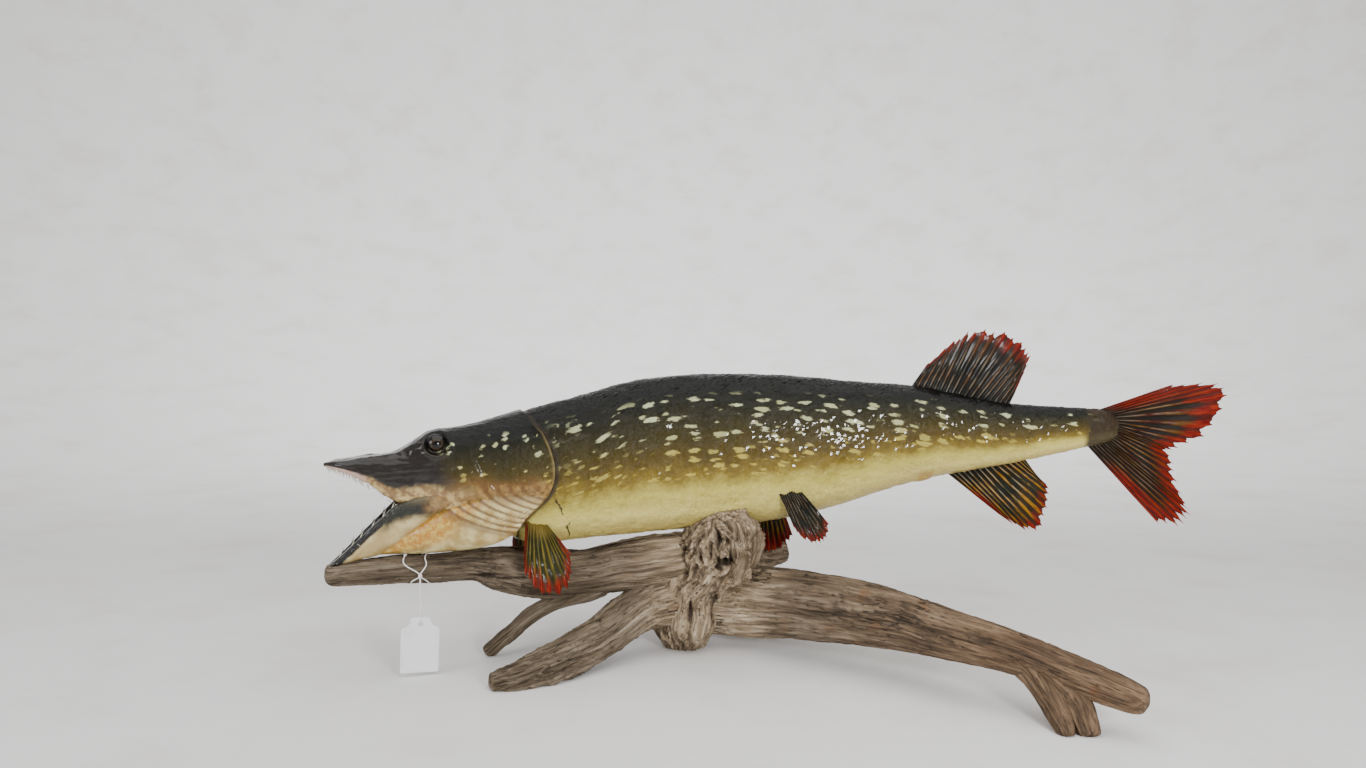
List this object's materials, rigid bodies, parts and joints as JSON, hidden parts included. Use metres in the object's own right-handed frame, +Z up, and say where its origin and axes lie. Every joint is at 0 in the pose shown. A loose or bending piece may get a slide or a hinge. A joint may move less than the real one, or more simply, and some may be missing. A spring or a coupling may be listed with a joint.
{
  "type": "mounted pike on driftwood",
  "caption": "Lacquered northern pike with an open mouth, lying on a forked piece of grey driftwood, with a blank price tag on a string.",
  "frame": {"origin": "on the surface that the driftwood stands on, at the flat under its knot", "axes": "+X towards the fish's tail, -Y towards the viewer of its left side, +Z up"},
  "size_m": [0.7758, 0.331, 0.2892],
  "materials": {
    "skin": "dried fish skin, painted olive to cream with pale spots, under thick clear lacquer",
    "mouth": "painted and lacquered",
    "eye": "polished glass eye",
    "fin": "dried fins, streaked olive, black and red, lacquered",
    "driftwood": "weathered grey driftwood, bare",
    "string": "white cotton thread",
    "card": "blank white card"
  },
  "bodies": {
    "root": {"upper_jaw": "skin", "head": "skin", "gill_cover_left": "skin", "gill_cover_right": "skin", "lower_jaw": "skin", "throat": "skin", "breast": "skin", "belly": "skin", "loin": "skin", "tail_stalk": "skin", "tongue": "mouth", "eye_left": "eye", "eye_right": "eye", "fin_dorsal": "fin", "fin_anal": "fin", "fin_tail": "fin", "fin_pectoral_left": "fin", "fin_pectoral_right": "fin", "fin_pelvic_left": "fin", "fin_pelvic_right": "fin", "wood_knot": "driftwood", "wood_branch": "driftwood", "wood_trunk": "driftwood", "wood_root_front": "driftwood", "wood_root_thin": "driftwood", "wood_limb_back": "driftwood", "wood_root_back": "driftwood", "tag_loop": "string", "tag_string": "string", "tag_card": "card"}
  },
  "joints": []
}
